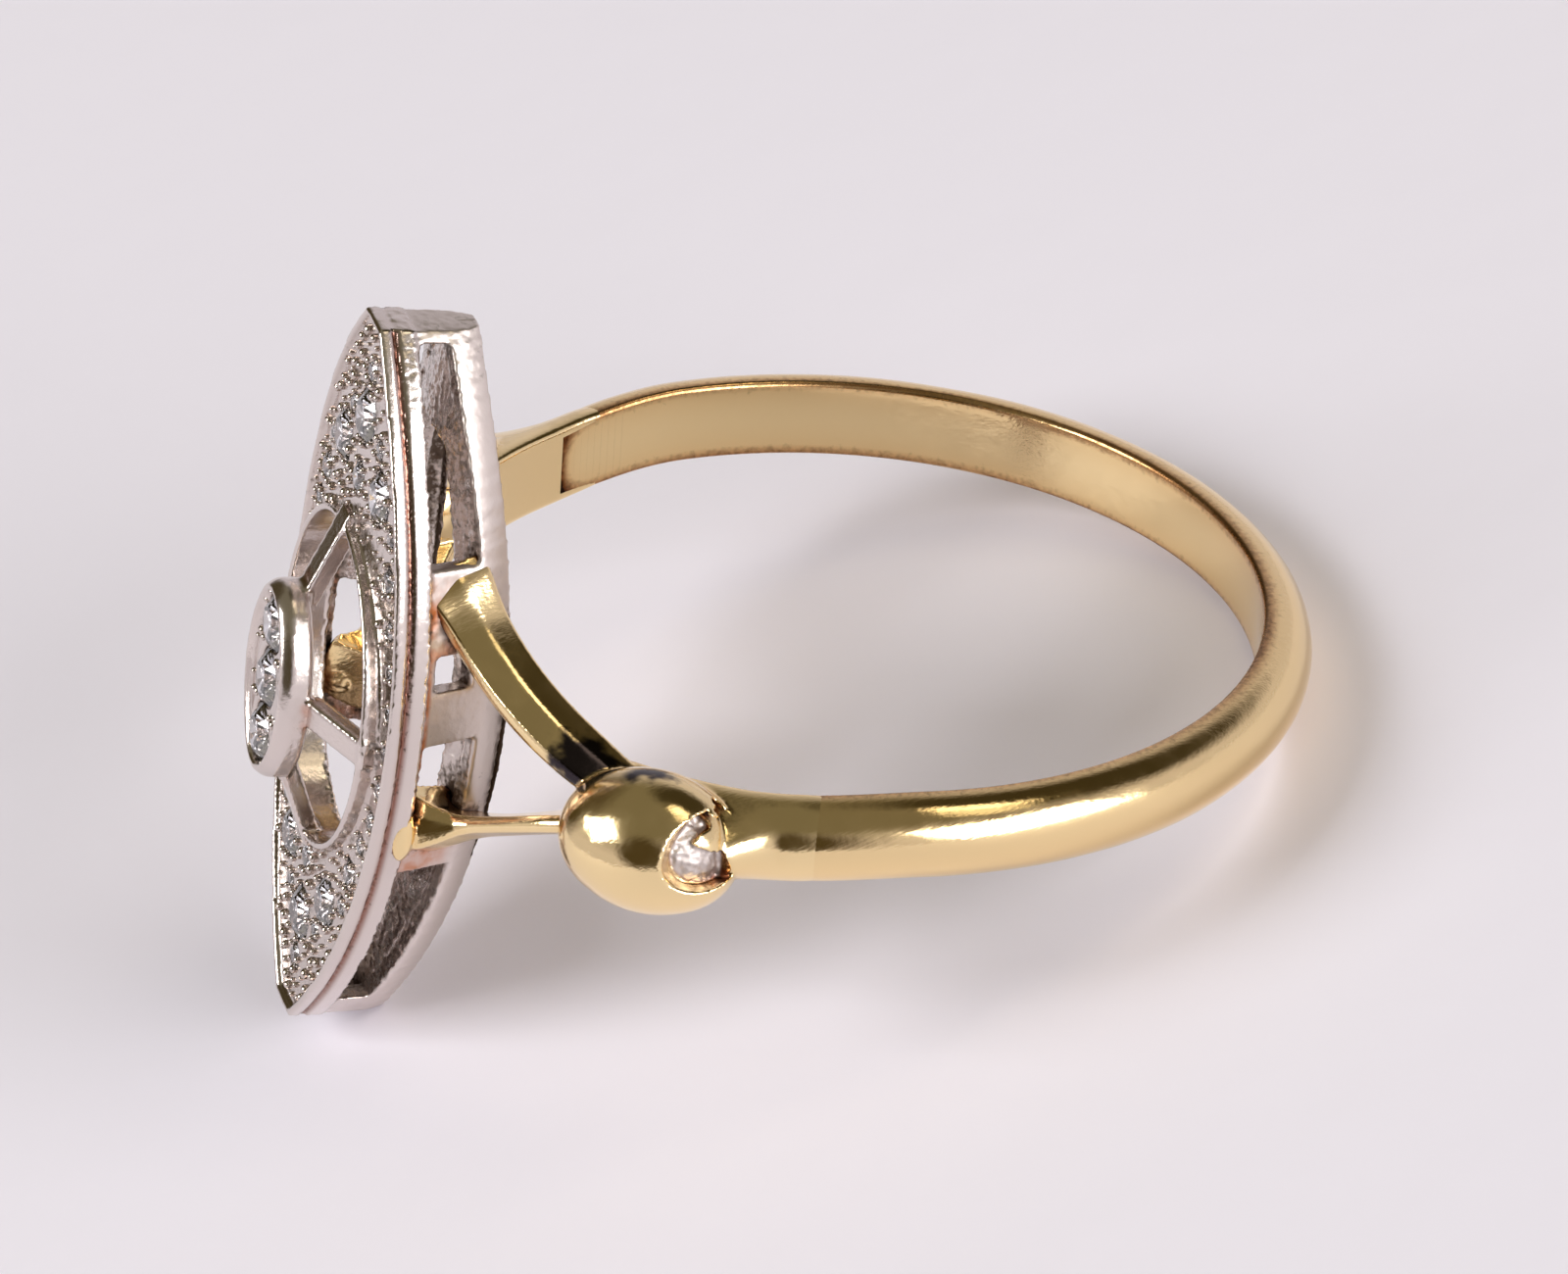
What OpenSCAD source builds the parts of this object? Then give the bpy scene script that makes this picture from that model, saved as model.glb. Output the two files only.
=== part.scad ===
// Dress ring: a yellow gold band with forked shoulders carries a long pierced
// white metal panel, and a raised cup on it holds three diamonds in a row.
// The ring lies on its side, on the lower tip of the panel and the back of the band.

/* [Band] */
// Diameter of the finger hole
finger_d = 17.2; // [16.6:0.1:18]
// Width of the band along the finger
band_w = 1.76; // [1.5:0.02:2]
// Thickness of the band at its crown
band_t = 1.05; // [0.95:0.05:1.2]

/* [Shoulders] */
// Angle of each boss forward of the band's side
boss_angle = 40; // [38:1:42]
// Length of the domed boss along the band
boss_l = 3.66; // [3.5:0.02:3.8]
// Width of the boss along the finger
boss_w = 2.84; // [2.7:0.02:2.9]
// Radius of the bite that leaves the boss a crescent
bite_r = 0.74; // [0.65:0.01:0.8]
// Width of each arm of the fork, measured outwards from the finger
arm_w = 1.25; // [1.1:0.05:1.3]
// Thickness of each arm at its crown
arm_t = 0.56; // [0.45:0.01:0.65]
// Distance of the arms' ends from the middle of the band
arm_spread = 2.5; // [2.4:0.05:2.6]

/* [Panel] */
// Length of the panel along the finger
panel_l = 15.8; // [15.4:0.1:16.2]
// Width of the panel across the finger
panel_w = 7.9; // [7.7:0.1:8.1]
// Distance from the finger's axis to the panel's face
panel_front = 10.91; // [10.8:0.01:11]
// Depth of the panel's side wall
panel_t = 0.73; // [0.65:0.01:0.8]
// Width of the border round the stones
border_w = 0.15; // [0.12:0.01:0.2]
// Depth of the stone bed under the border
bed_drop = 0.15; // [0.1:0.01:0.2]
// Length of the rounded opening behind the cup
opening_l = 6.9; // [6.7:0.1:7]
// Width of the rounded opening behind the cup
opening_w = 6.2; // [6.1:0.1:6.3]
// Backward lean of the panel's upper tip, in degrees
lean = 4.9; // [4:0.1:5.5]
// Distance of the panel's centre below the middle of the band
drop = 0.34; // [0.2:0.02:0.4]

/* [Gallery] */
// Thickness of the gallery's wall
wall_t = 0.42; // [0.36:0.02:0.5]
// Width of the gallery at its back edge
gallery_back_w = 6.3; // [6.1:0.1:6.5]
// Width of the back rail
rail_w = 0.7; // [0.6:0.05:0.8]
// Width of the ledge that runs inwards from the back rail
ledge_w = 1.3; // [1.1:0.1:1.5]
// Thickness of the ledge
ledge_t = 0.35; // [0.3:0.05:0.4]

/* [Cup] */
// Length of the cup that holds the three stones
cup_l = 4.3; // [4.2:0.05:4.4]
// Width of the cup
cup_w = 2.96; // [2.8:0.02:3.1]
// Depth of the cup
cup_t = 0.66; // [0.6:0.01:0.7]
// Height of the cup's front over the panel's face
cup_rise = 1.3; // [1.2:0.02:1.35]
// Distance of the cup and the opening below the panel's centre
cup_drop = 0.18; // [0:0.01:0.2]
// Radius of each of the three stones
main_stone_r = 0.6; // [0.5:0.01:0.61]

/* [Hidden] */
$fn = 64;
gap = 0.03;
cut = 0.5;

finger_r = finger_d/2;
band_out = finger_r + band_t;
band_core = band_out - band_w/2;
band_end = boss_angle + 7;

// The boss is a spindle with rounded ends that lies on the outside of the band.
boss_core = 9.8;
boss_bend_r = 2.3;
boss_back = 0.09;
boss_drop = 0.31;
bite_back = 1.62;
bite_up = 0.48;
bite_floor = band_out - 0.22;
tongue_back = 1;
tongue_up = 0.16;
tongue_slope = 38;

// Each arm is a strap bent to a circle whose plane is tilted across the band.
arm_in = finger_r + 0.05;
arm_mid = arm_in + arm_w/2;
arm_mid_angle = 61;
arm_half_angle = 10.5;
arm_start = 0.8;
arm_run = arm_mid*2*arm_half_angle*PI/180;
arm_pitch = atan((arm_spread - arm_start)/arm_run);
arm_bend_r = arm_mid/pow(cos(arm_pitch), 2);
arm_edge_t = 0.36*arm_t;
arm_crown_r = 0.9;
arm_turn_out = 12.5;
arm_turn_in = 12.5;

// Each arm ends in a foot that lies on the gallery's wall, up to the back of the plate.
foot_across = 2.84;
foot_up = 3.25;
foot_down = -2.05;
foot_from = 8.5;
foot_h = 1.6;
foot_r = 0.62;
foot_end_r = 0.5;
foot_slope = 18;

// The panel's outline is four arcs, and its face is a little rounded across.
pivot = 9.5;
half_l = panel_l/2;
half_w = panel_w/2;
tip_reach = half_l + 0.45;
face_bend_r = 31;
panel_back = panel_front - panel_t;
bed = panel_front - bed_drop;
groove_at = 0.27;
groove_w = 0.09;
groove_d = 0.07;
collar_w = 0.13;
collar_rise = 0.1;
collar_root = 0.1;

// The gallery tapers to the back, where its rail is hollowed round the finger.
gallery_in = 0.04;
gallery_l = half_l - gallery_in;
gallery_w = half_w - gallery_in;
gallery_low = 7.4;
gallery_high = panel_back + 0.12;
rail_bend_r = 6.15;
rail_back = 8.76;
taper = gallery_back_w/2/gallery_w;
rail_z = 8;
taper_low = 1 - (1 - taper)*(gallery_high - gallery_low)/(panel_back - rail_z);
window_front = panel_back - 0.08;

// The ledge lies just behind the windows. It closes the gallery's ends and stays open between.
ledge_front = 0.06;
ledge_open_from = -3.6;
ledge_open_to = 5.5;

// Windows through the gallery's side walls: from and to along the panel, and
// how far the window stays clear of the front and of the back rail.
WINDOW_FROM = 0;
WINDOW_TO = 1;
WINDOW_FRONT = 2;
WINDOW_RAIL = 3;
windows = [
    [3.85, 7.62, 0, 0],
    [1.4, 2.15, 0.35, 0.3],
    [-1.6, 0.25, 0.25, 0.1],
    [-7.1, -2.8, 0, 0],
];

// Stones of the panel's upper end: across, along, radius. The lower end mirrors them.
ACROSS = 0;
ALONG = 1;
RADIUS = 2;
end_stones = [
    [0, 5.72, 0.58],
    [1.42, 4.62, 0.54],
    [-1.42, 4.62, 0.54],
    [2.52, 3.32, 0.3],
    [-2.52, 3.32, 0.3],
    [0, 6.72, 0.26],
    [0, 4.36, 0.34],
    [1.04, 5.5, 0.2],
    [-1.04, 5.5, 0.2],
    [2.32, 4.18, 0.2],
    [-2.32, 4.18, 0.2],
];
side_stones = 7;
side_stone_r = 0.19;
side_row_wide = 3.5;
side_row_long = 4.3;
side_stone_step = 11.5;

cup_front = panel_front + cup_rise;
cup_back = cup_front - cup_t;
cup_rim = 0.24;
cup_recess = 0.1;
cup_chamfer = 0.11;
cup_end_r = 1.08;
opening_end_r = 2.79;
main_stone_step = 1.25;
strut_w = 0.56;
strut_t = 0.4;
strut_slope = 22;
strut_mid_z = 11.14;
strut_l = 2.1;
strut_at_side = (cup_w + opening_w)/4 - 0.02;
strut_at_end = (cup_l + opening_l)/4 - 0.02;

// The rest pose: the line under the panel's lower tip and the band's back edge is level.
tip_back = [-pivot + (pivot - rail_back)*cos(lean) - gallery_l*sin(lean),
    -gallery_l*cos(lean) - (pivot - rail_back)*sin(lean) - drop];
tip_front = [-pivot - (panel_front - pivot)*cos(lean) - half_l*sin(lean),
    -half_l*cos(lean) + (panel_front - pivot)*sin(lean) - drop];
rest_reach = band_core - tip_back[0];
rest_tilt = acos(band_w/2/norm([rest_reach, tip_back[1]])) - atan2(rest_reach, -tip_back[1]);
rest_height = band_core*sin(rest_tilt) + band_w/2;
front_y = tip_front[0]*cos(rest_tilt) + tip_front[1]*sin(rest_tilt);
back_y = band_core*cos(rest_tilt) + band_w/2;
mid_y = (front_y + back_y)/2;

function stone_name(kind, i) = str(kind, "_stone_", i + 1);

// Turns the ring from its own frame, with the finger along Z, to how it lies.
module lay_down() {
    translate([0, -mid_y, rest_height]) rotate([-rest_tilt, 0, 0]) children();
}

// Turns the panel's frame (X across, Y along, Z outwards from the finger) into the ring's.
module on_panel() {
    translate([0, -pivot, -drop]) rotate([-lean, 0, 0]) translate([0, pivot, 0]) rotate([90, 0, 0]) children();
}

module both_sides() {
    children();
    mirror([1, 0, 0]) children();
}

// The panel's outline, two long arcs that a short one blunts at each tip, drawn in by a margin.
module panel_outline(margin) {
    wide = half_w - margin;
    arc_r = (tip_reach*tip_reach + half_w*half_w)/(2*half_w) - margin;
    intersection() {
        translate([wide - arc_r, 0]) circle(r = arc_r, $fn = 160);
        translate([arc_r - wide, 0]) circle(r = arc_r, $fn = 160);
        circle(r = half_l - margin, $fn = 160);
    }
}

// A rounded oval of four arcs, with its long axis along Y.
module oval(long, wide, end_r) {
    reach = long - end_r;
    side_at = (reach*reach - (wide - end_r)*(wide - end_r))/(2*(wide - end_r));
    side_r = side_at + wide;
    meet = side_r*reach/(side_r - end_r);
    intersection() {
        translate([-side_at, 0]) circle(r = side_r, $fn = 160);
        translate([side_at, 0]) circle(r = side_r, $fn = 160);
        translate([-long, -meet]) square([2*long, 2*meet]);
    }
    translate([0, reach]) circle(r = end_r);
    translate([0, -reach]) circle(r = end_r);
}

// The space behind a face that is rounded across the panel.
module under_face(height) {
    translate([0, 0, height - face_bend_r]) rotate([90, 0, 0])
        cylinder(r = face_bend_r, h = panel_l + 2, center = true, $fn = 160);
}

module band() {
    rotate([0, 0, -band_end]) rotate_extrude(angle = 180 + 2*band_end, $fn = 160)
        intersection() {
            translate([band_core, 0]) circle(r = band_w/2);
            translate([finger_r, -band_w]) square([band_w, 2*band_w]);
        }
}

// Puts a shape at a boss, with X outwards, Y along the band towards its back and Z upwards.
module at_boss() {
    rotate([0, 0, -boss_angle]) translate([0, 0, -boss_drop]) children();
}

// The round bite, open outwards, that leaves the boss a crescent.
module bite(margin) {
    translate([bite_floor - margin, bite_back, bite_up]) rotate([0, 90, 0]) cylinder(r = bite_r + margin, h = band_w);
}

module boss() {
    difference() {
        translate([boss_core, boss_back, 0]) rotate([90, 0, 0]) rotate([0, 0, 180]) rotate_extrude($fn = 96)
            intersection() {
                circle(r = boss_l/2, $fn = 96);
                translate([boss_w/2 - boss_bend_r, 0]) circle(r = boss_bend_r, $fn = 96);
                translate([0, -boss_l]) square([boss_l, 2*boss_l]);
            }
        bite(0);
    }
}

// The band keeps a pointed tongue in the bite.
module tongue_bite() {
    side = band_w*tan(tongue_slope);
    difference() {
        bite(gap);
        translate([0, tongue_back, tongue_up]) rotate([0, 90, 0])
            linear_extrude(height = 2*band_out) polygon([[0, 0], [side, band_w], [-side, band_w]]);
    }
}

module upper_arm() {
    translate([arm_mid, 0, (arm_start + arm_spread)/2]) rotate([-arm_pitch, 0, 0])
        translate([-arm_bend_r, 0, 0]) rotate([0, 0, -arm_turn_out])
            rotate_extrude(angle = arm_turn_out + arm_turn_in, $fn = 160) translate([arm_bend_r, 0])
                intersection() {
                    translate([-arm_w/2, -arm_t/2]) square([arm_w, arm_t]);
                    translate([0, arm_t/2 - arm_crown_r]) circle(r = arm_crown_r);
                }
}

// The gallery's outer form, grown by a margin where another piece is cut to it.
module gallery_form(margin) {
    translate([0, 0, gallery_low])
        linear_extrude(height = gallery_high - gallery_low, scale = [1/taper_low, 1], slices = 1)
            scale([taper_low, 1]) panel_outline(gallery_in - margin);
}

module arm_foot(along) {
    translate([foot_across, along, foot_from]) rotate([0, foot_slope, 0])
        cylinder(r1 = foot_r, r2 = foot_end_r, h = foot_h);
}

module gold_mount() {
    color("gold") lay_down() difference() {
        union() {
            difference() {
                band();
                both_sides() at_boss() tongue_bite();
            }
            both_sides() {
                at_boss() boss();
                rotate([0, 0, -arm_mid_angle]) {
                    upper_arm();
                    mirror([0, 0, 1]) upper_arm();
                }
                on_panel() {
                    arm_foot(foot_up);
                    arm_foot(foot_down);
                }
            }
        }
        cylinder(r = finger_r, h = panel_l, center = true, $fn = 160);
        on_panel() {
            gallery_form(gap);
            difference() {
                translate([-panel_w, -panel_l, gallery_low]) cube([2*panel_w, 2*panel_l, panel_l]);
                under_face(panel_back - gap);
            }
        }
    }
}

module plate() {
    difference() {
        intersection() {
            translate([0, 0, panel_back - cut]) linear_extrude(height = panel_t + 2*cut) panel_outline(0);
            under_face(panel_front);
        }
        under_face(panel_back);
        difference() {
            translate([0, 0, panel_back]) linear_extrude(height = panel_t + cut)
                panel_outline(border_w);
            under_face(bed);
        }
        groove();
    }
}

// The line cut round the side wall of the panel.
module groove() {
    difference() {
        translate([0, 0, panel_back]) linear_extrude(height = panel_t) difference() {
            circle(r = panel_l);
            panel_outline(groove_d);
        }
        under_face(panel_front - groove_at - groove_w);
        difference() {
            translate([-panel_w, -panel_l, panel_back - cut]) cube([2*panel_w, 2*panel_l, 2]);
            under_face(panel_front - groove_at);
        }
    }
}

module collar() {
    translate([0, -cup_drop, panel_back - collar_root])
        linear_extrude(height = collar_root + panel_t + collar_rise)
            oval(opening_l/2 + collar_w, opening_w/2 + collar_w, opening_end_r + collar_w);
}

// A shape through the gallery that keeps a margin to the panel's outline.
module gallery_hole(margin) {
    translate([0, 0, gallery_low - gap])
        linear_extrude(height = gallery_high - gallery_low + 2*gap, scale = [1/taper_low, 1], slices = 1)
            scale([taper_low, 1]) panel_outline(margin);
}

// All that lies nearer to the finger than a bend through the back rail.
module inside_bend(height) {
    translate([0, 0, rail_back - rail_bend_r]) rotate([90, 0, 0])
        cylinder(r = rail_bend_r + height, h = panel_l + 2, center = true, $fn = 96);
}

module ledge() {
    difference() {
        intersection() {
            gallery_hole(gallery_in + wall_t/2);
            inside_bend(rail_w - ledge_front);
        }
        inside_bend(rail_w - ledge_front - ledge_t);
        intersection() {
            gallery_hole(ledge_w);
            translate([-panel_w, ledge_open_from, 0]) cube([2*panel_w, ledge_open_to - ledge_open_from, panel_l]);
        }
    }
}

module gallery() {
    difference() {
        gallery_form(0);
        gallery_hole(gallery_in + wall_t);
        inside_bend(0);
        for (w = windows) window(w);
    }
    ledge();
}

module window(w) {
    difference() {
        translate([-panel_w, w[WINDOW_FROM], gallery_low])
            cube([2*panel_w, w[WINDOW_TO] - w[WINDOW_FROM], window_front - w[WINDOW_FRONT] - gallery_low]);
        inside_bend(rail_w + w[WINDOW_RAIL]);
    }
}

// The cup's outline, drawn in from its edge by a margin.
module cup_layer(margin, from, height) {
    translate([0, 0, from]) linear_extrude(height = height)
        oval(cup_l/2 - margin, cup_w/2 - margin, cup_end_r - margin);
}

module cup() {
    difference() {
        union() {
            cup_layer(0, cup_back, cup_t - 2*cup_chamfer);
            cup_layer(0.3*cup_chamfer, cup_back, cup_t - cup_chamfer);
            cup_layer(cup_chamfer, cup_back, cup_t);
        }
        cup_layer(cup_rim + 0.3*cup_chamfer, cup_front - cup_recess, 1);
    }
}

module strut(at) {
    translate([at, 0, strut_mid_z]) rotate([0, strut_slope, 0]) cube([strut_l, strut_w, strut_t], center = true);
}

module struts() {
    for (turn = [0, 180]) {
        rotate([0, 0, turn]) strut(strut_at_side);
        rotate([0, 0, turn + 90]) strut(strut_at_end);
    }
}

// Where each stone sits: across, along, height of its girdle, radius.
function at_bed(x) = panel_front - bed_drop - face_bend_r + sqrt(face_bend_r*face_bend_r - x*x);
function seat_of(s, flip) = [s[ACROSS], flip*s[ALONG], at_bed(s[ACROSS]) - 0.03, s[RADIUS]];
function side_seat(i, side) = let (a = (i - (side_stones - 1)/2)*side_stone_step)
    [side*side_row_wide*cos(a), side_row_long*sin(a), at_bed(side_row_wide*cos(a)) - 0.02, side_stone_r];
function centre_seat(i) = [0, (1 - i)*main_stone_step - cup_drop, cup_front - cup_recess - 0.04, main_stone_r];
end_seats = [for (flip = [1, -1]) for (s = end_stones) seat_of(s, flip)];
side_seats = [for (side = [1, -1]) for (i = [0:side_stones - 1]) side_seat(i, side)];
centre_seats = [for (i = [0:2]) centre_seat(i)];

// A stepped hole: a ledge for the girdle, then a narrower hole behind the stone.
module seat_hole(s, depth) {
    translate([s[0], s[1], s[2]]) {
        translate([0, 0, -0.25*s[3] - gap]) cylinder(r = s[3] + gap, h = 1, $fn = 32);
        translate([0, 0, -depth]) cylinder(r = 0.72*s[3], h = depth, $fn = 32);
    }
}

module panel() {
    color("silver") lay_down() on_panel() difference() {
        union() {
            difference() {
                union() {
                    plate();
                    gallery();
                    collar();
                }
                translate([0, -cup_drop, panel_back - cut]) linear_extrude(height = panel_t + 2*cut)
                    oval(opening_l/2, opening_w/2, opening_end_r);
            }
            translate([0, -cup_drop, 0]) {
                cup();
                struts();
            }
        }
        for (s = end_seats) seat_hole(s, 1);
        for (s = side_seats) seat_hole(s, 0.4);
        for (s = centre_seats) seat_hole(s, 0.8);
    }
}

// An old cut: octagonal table, 24 crown facets, a girdle of 16 sides and 16 pavilion facets.
module cut_stone(r) {
    table_r = 0.6*r;
    crown_h = 0.3*r;
    girdle_h = 0.06*r;
    pavilion_h = 0.68*r;
    table = [for (i = [0:7]) [table_r*cos(45*i), table_r*sin(45*i), crown_h]];
    girdle_top = [for (i = [0:15]) [r*cos(22.5*i), r*sin(22.5*i), 0]];
    girdle_low = [for (i = [0:15]) [r*cos(22.5*i), r*sin(22.5*i), -girdle_h]];
    points = concat(table, girdle_top, girdle_low, [[0, 0, -girdle_h - pavilion_h]]);
    top = 8;
    low = 24;
    faces = concat(
        [[for (i = [7:-1:0]) i]],
        [for (i = [0:7]) [i, top + 2*i, top + (2*i + 15) % 16]],
        [for (i = [0:7]) [i, top + 2*i + 1, top + 2*i]],
        [for (i = [0:7]) [i, (i + 1) % 8, top + 2*i + 1]],
        [for (i = [0:15]) [top + i, top + (i + 1) % 16, low + (i + 1) % 16, low + i]],
        [for (i = [0:15]) [low + i, low + (i + 1) % 16, 40]]
    );
    polyhedron(points = points, faces = faces, convexity = 2);
}

module set_stone(s) {
    color("aliceblue") lay_down() on_panel() translate([s[0], s[1], s[2]]) rotate([0, 0, 11.25]) cut_stone(s[3]);
}

gold_mount();
panel();
for (i = [0:2])
    set_stone(centre_seats[i]);
for (i = [0:len(end_stones) - 1]) {
    set_stone(end_seats[i]);
    set_stone(end_seats[len(end_stones) + i]);
}
for (i = [0:side_stones - 1]) {
    set_stone(side_seats[i]);
    set_stone(side_seats[side_stones + i]);
}
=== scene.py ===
# Three-stone diamond ring: yellow gold band and shoulders, white metal panel, lying on its side on paper.
import math
import random

import bpy
import numpy as np
from mathutils import Matrix, Quaternion, Vector, noise
from mathutils.bvhtree import BVHTree


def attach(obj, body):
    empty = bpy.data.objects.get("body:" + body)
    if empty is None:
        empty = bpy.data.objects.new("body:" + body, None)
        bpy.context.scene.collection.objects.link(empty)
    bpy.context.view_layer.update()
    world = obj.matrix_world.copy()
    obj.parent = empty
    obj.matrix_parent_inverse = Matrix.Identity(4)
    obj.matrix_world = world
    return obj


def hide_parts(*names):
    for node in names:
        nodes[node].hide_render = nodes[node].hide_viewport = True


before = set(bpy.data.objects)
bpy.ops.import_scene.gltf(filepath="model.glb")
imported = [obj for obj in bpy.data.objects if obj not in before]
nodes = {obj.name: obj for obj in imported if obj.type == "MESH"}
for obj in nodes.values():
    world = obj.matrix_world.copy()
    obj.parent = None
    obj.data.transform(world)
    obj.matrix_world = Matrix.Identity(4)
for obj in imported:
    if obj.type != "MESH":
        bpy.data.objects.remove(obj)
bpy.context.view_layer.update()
dice = random.Random(7)
mm = 0.001
print("frame loaded:", len(nodes), "nodes")

# How the ring lies. Its own frame has the finger along Z and the panel towards -Y.
pose = {
    "tilt": 21.8149,
    "holeCentre": (0, 2.3675, 4.139),
    "pivot": 9.5,
    "lean": 4.9,
    "drop": 0.34,
}


def move(x, y, z):
    return Matrix.Translation((x, y, z))


def turn(degrees, axis):
    return Matrix.Rotation(math.radians(degrees), 4, axis)


toScene = Matrix.Scale(mm, 4)
ringFrame = toScene @ move(*pose["holeCentre"]) @ turn(-pose["tilt"], "X")
# the panel's own frame has X across it, Y along it and Z outwards from the finger
panelInRing = (
    move(0, -pose["pivot"], -pose["drop"])
    @ turn(-pose["lean"], "X")
    @ move(0, pose["pivot"], 0)
    @ turn(90, "X")
)
panelFrame = ringFrame @ panelInRing
mirrorX = Matrix.Scale(-1, 4, (1, 0, 0))


# a row of closed rings of points, skinned, with both ends capped
def loft(rings):
    count = len(rings[0])
    points = [p for ring in rings for p in ring]
    faces = []
    for i in range(len(rings) - 1):
        for j in range(count):
            a = i * count + j
            b = i * count + (j + 1) % count
            faces.append((a, b, b + count, a + count))
    faces.append(tuple(reversed(range(count))))
    faces.append(tuple(range((len(rings) - 1) * count, len(rings) * count)))
    return points, faces


# a closed round form about the X axis, whose reach along each direction comes from a function
def roundForm(centre, reach, around=20, up=12):
    rings = []
    for i in range(1, up):
        a = math.pi * i / up
        ring = []
        for j in range(around):
            b = 2 * math.pi * j / around
            d = Vector((math.cos(a), math.sin(a) * math.cos(b), math.sin(a) * math.sin(b)))
            ring.append(d * reach(d) + Vector(centre))
        rings.append(ring)
    return loft([list(reversed(ring)) for ring in rings])


def ball(centre, size, around=20, up=12):
    half = Vector(size)
    return roundForm(centre, lambda d: 1 / math.sqrt(sum((d[k] / half[k]) ** 2 for k in range(3))), around, up)


# one mesh object out of several shells of points and faces
def build(name, shells, place=toScene):
    allPoints = []
    allFaces = []
    flip = place.determinant() < 0
    for points, faces in shells:
        base = len(allPoints)
        allPoints += [place @ Vector(p) for p in points]
        allFaces += [tuple(base + i for i in (reversed(f) if flip else f)) for f in faces]
    mesh = bpy.data.meshes.new(name)
    mesh.from_pydata(allPoints, [], allFaces)
    mesh.update()
    obj = bpy.data.objects.new(name, mesh)
    bpy.context.scene.collection.objects.link(obj)
    return obj


# a shell carried through a matrix, its faces turned round where that mirrors it
def placed(shell, place):
    points, faces = shell
    moved = [place @ Vector(p) for p in points]
    if place.determinant() < 0:
        faces = [tuple(reversed(f)) for f in faces]
    return moved, faces


def settle(obj):
    view = bpy.context.evaluated_depsgraph_get()
    mesh = bpy.data.meshes.new_from_object(obj.evaluated_get(view))
    old = obj.data
    obj.modifiers.clear()
    obj.data = mesh
    bpy.data.meshes.remove(old)
    return obj


def removeObject(obj):
    mesh = obj.data
    bpy.data.objects.remove(obj)
    bpy.data.meshes.remove(mesh)


# cuts one closed shell out of another
def carve(shell, cutterShells):
    body = build("body", [shell])
    for cutterShell in cutterShells:
        cutter = build("cutter", [cutterShell])
        modifier = body.modifiers.new("carve", "BOOLEAN")
        modifier.operation = "DIFFERENCE"
        modifier.solver = "EXACT"
        modifier.object = cutter
        settle(body)
        removeObject(cutter)
    result = ([v.co / mm for v in body.data.vertices], [tuple(p.vertices) for p in body.data.polygons])
    removeObject(body)
    return result


def pointsOf(obj):
    flat = np.empty(len(obj.data.vertices) * 3, np.float32)
    obj.data.vertices.foreach_get("co", flat)
    return flat.reshape(-1, 3).astype(float)


def normalsOf(obj):
    flat = np.empty(len(obj.data.vertices) * 3, np.float32)
    obj.data.vertex_normals.foreach_get("vector", flat)
    return flat.reshape(-1, 3).astype(float)


def setPoints(obj, points):
    obj.data.vertices.foreach_set("co", points.astype(np.float32).ravel())
    obj.data.update()


def carried(points, matrix):
    m = np.array(matrix)
    return points @ m[:3, :3].T + m[:3, 3]


# rounds off the mesh without shrinking it: each round moves points in and then a little more out
def polish(obj, rounds):
    edges = np.empty(len(obj.data.edges) * 2, np.int32)
    obj.data.edges.foreach_get("vertices", edges)
    a, b = edges[0::2], edges[1::2]
    points = pointsOf(obj)
    count = len(points)
    shares = np.maximum(np.bincount(a, minlength=count) + np.bincount(b, minlength=count), 1)[:, None]
    for i in range(2 * rounds):
        total = np.zeros_like(points)
        for k in range(3):
            total[:, k] = np.bincount(a, points[b, k], count) + np.bincount(b, points[a, k], count)
        points += (0.5 if i % 2 == 0 else -0.52) * (total / shares - points)
    setPoints(obj, points)


# voxel remesh in the frame that the piece was made in, so flat faces stay flat
def remesh(obj, voxel, place):
    setPoints(obj, carried(pointsOf(obj), place.inverted()) * mm)
    modifier = obj.modifiers.new("remesh", "REMESH")
    modifier.mode = "VOXEL"
    modifier.voxel_size = voxel * mm
    modifier.use_smooth_shade = True
    settle(obj)
    setPoints(obj, carried(pointsOf(obj) / mm, place))
    return obj


# one number a point, which the materials read
def mark(obj, name, values):
    layer = obj.data.attributes.new(name, "FLOAT", "POINT")
    layer.data.foreach_set("value", np.clip(values, 0, 1).astype(np.float32))


def step(low, high, x):
    t = np.clip((x - low) / (high - low), 0, 1)
    return t * t * (3 - 2 * t)


def grit(points, size, depth=2):
    return np.array([noise.fractal(Vector(p) / size, 1.0, 2.0, depth) for p in points])


# Shank: half-round wire, hammered round by hand, so it sinks a little towards the bosses.
shank = {
    "holeRadius": 8.6,
    "core": 8.77,
    "halfWidth": 0.88,
    "edgeRound": 0.13,
    "end": 27,
    "sink": 0.26,
    "sinkFrom": 6,
    "sinkTo": 31,
    "rise": 1.0,
    "riseFrom": 24,
    "riseTo": 36,
    "rings": 200,
    "slip": 0.07,
    "slipFrom": 19,
    "waveLong": 2.6,
    "waveShort": 0.9,
    "waveHigh": (0.012, 0.003),
    "wear": 0.006,
}


# half-round section with rounded inner edges, as (distance from the finger's axis, height)
def shankProfile(grow=0):
    half = shank["halfWidth"] + grow
    inner = shank["holeRadius"]
    edge = shank["edgeRound"]
    low = -math.acos(min(1, (inner + edge - shank["core"]) / half))
    ring = []
    for i in range(29):
        a = low * (1 - 2 * i / 28)
        ring.append((shank["core"] + half * math.cos(a), half * math.sin(a)))
    top = ring[-1][1]
    for i in range(1, 7):
        a = math.pi / 2 * i / 6
        ring.append((inner + edge * (1 - math.sin(a)), top - edge * (1 - math.cos(a))))
    for i in range(1, 8):
        ring.append((inner, (top - edge) * (1 - 2 * i / 8)))
    for i in range(6, 0, -1):
        a = math.pi / 2 * i / 6
        ring.append((inner + edge * (1 - math.sin(a)), -top + edge * (1 - math.cos(a))))
    return ring


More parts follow.
